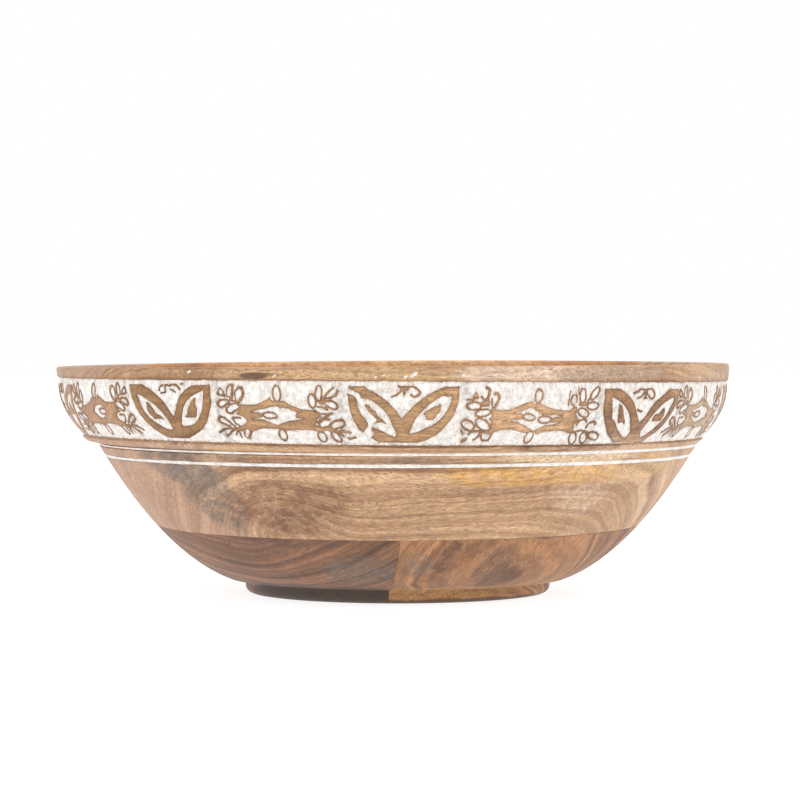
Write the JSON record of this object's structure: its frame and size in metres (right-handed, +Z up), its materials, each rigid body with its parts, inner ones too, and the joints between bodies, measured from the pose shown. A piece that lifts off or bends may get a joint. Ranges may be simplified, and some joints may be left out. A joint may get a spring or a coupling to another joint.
{
  "type": "carved wooden bowl",
  "caption": "Wide turned wooden bowl on a low foot, with a carved band of leaves and branches on a whitewashed ground under its rim and white scored lines below it.",
  "frame": {"origin": "on the axis of the rim and the hollow, at the height of the foot's underside", "axes": "+Z up out of the bowl's mouth, along its shortest side; -Y towards the side with the front board; +X to the right of it"},
  "size_m": [0.3048, 0.3048, 0.1048],
  "materials": {
    "mango_wood_light": "oiled, light yellowish brown with darker growth rings and open pores",
    "mango_wood_tan": "oiled, pinkish tan",
    "mango_wood_brown": "oiled, reddish brown with grey stains",
    "mango_wood_amber": "oiled, orange brown with darker bands",
    "white_paste": "rough matt whitewash"
  },
  "bodies": {
    "root": {"upper_front_board": "mango_wood_light", "upper_back_board": "mango_wood_light", "upper_left_board": "mango_wood_tan", "upper_right_board": "mango_wood_tan", "lower_left_board": "mango_wood_brown", "lower_right_board": "mango_wood_amber", "band_white_paste": "white_paste", "upper_line_white_paste": "white_paste", "lower_line_white_paste": "white_paste"}
  },
  "joints": []
}
